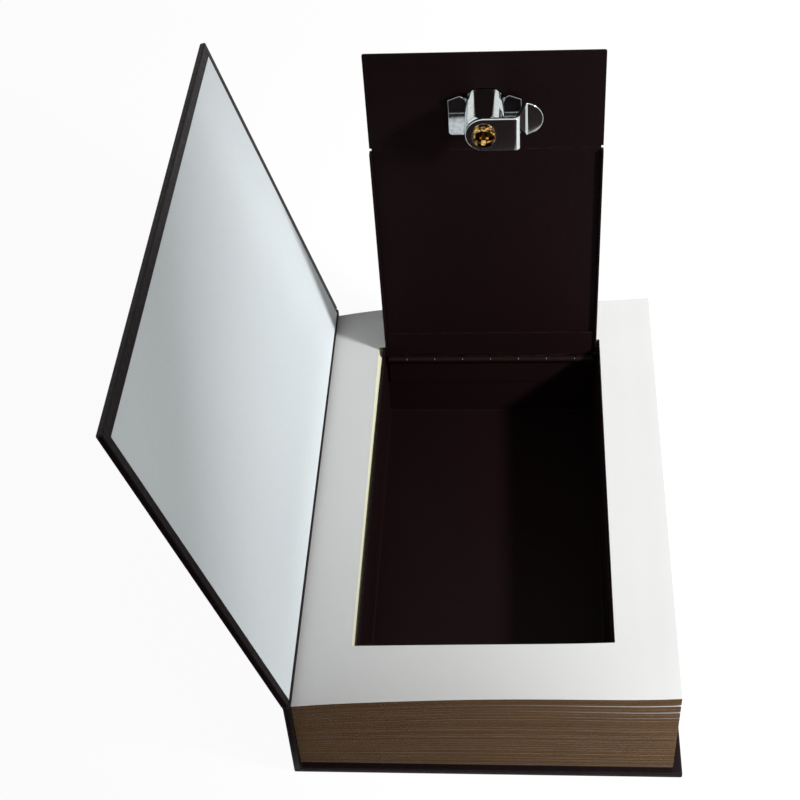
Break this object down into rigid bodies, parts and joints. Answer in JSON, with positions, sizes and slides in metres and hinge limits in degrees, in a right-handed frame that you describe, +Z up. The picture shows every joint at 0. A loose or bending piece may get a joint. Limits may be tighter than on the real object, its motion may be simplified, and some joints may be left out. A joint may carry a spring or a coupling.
{
  "type": "book diversion safe",
  "caption": "Book-shaped diversion safe: a hinged cover over paper leaves that frame a black steel cash tray, whose piano-hinged lid carries a cam lock.",
  "frame": {"origin": "middle of the back cover's underside, the face that the book rests on", "axes": "+Z up out of the back cover, +X from the spine to the fore-edge, +Y from the tail of the book to its head"},
  "size_m": [0.1923, 0.2246, 0.1986],
  "materials": {
    "leatherette": "fine grained, satin black",
    "greyboard": "matt",
    "endpaper": "smooth matt",
    "page_paper": "matt",
    "black_steel": "matt black powder coat",
    "chrome": "polished",
    "brass": "polished",
    "spring_steel": "bright wire"
  },
  "bodies": {
    "book": {"spine_and_back_wrap": "leatherette", "back_cover_board": "greyboard", "spine_board": "greyboard", "back_endpaper": "endpaper", "page_block": "page_paper", "lower_leaves": "page_paper", "middle_leaves": "page_paper", "upper_leaves": "page_paper", "cash_tray": "black_steel", "tray_hinge_leaf": "black_steel", "hinge_pin": "black_steel", "lock_catch": "black_steel"},
    "front_cover": {"front_cover_wrap": "leatherette", "front_cover_board": "greyboard", "front_endpaper": "endpaper"},
    "lid": {"cash_lid": "black_steel", "lid_hinge_leaf": "black_steel", "lock_housing": "chrome", "lock_clip": "chrome"},
    "lock_barrel": {"lock_plug": "brass", "lock_cam": "chrome", "cam_screw": "brass", "lock_wafer_1": "brass", "lock_wafer_2": "brass", "lock_wafer_3": "brass", "lock_wafer_4": "brass", "lock_wafer_5": "brass", "wafer_spring_1": "spring_steel", "wafer_spring_2": "spring_steel", "wafer_spring_3": "spring_steel", "wafer_spring_4": "spring_steel", "wafer_spring_5": "spring_steel"}
  },
  "joints": [
    {"name": "front_cover_hinge", "type": "hinge", "parent": "book", "child": "front_cover", "pos_m": [-0.07355, 0, 0.0418], "axis": [0, -1, 0], "range_deg": [-22, 73.8]},
    {"name": "lid_hinge", "type": "hinge", "parent": "book", "child": "lid", "pos_m": [-0.0003, 0.0811, 0.03925], "axis": [1, 0, 0], "range_deg": [0, 90.5]},
    {"name": "lock_turn", "type": "hinge", "parent": "lid", "child": "lock_barrel", "pos_m": [-0.0003, 0.08424, 0.17553], "axis": [0, -1, 0.0087], "range_deg": [0, 90]}
  ]
}
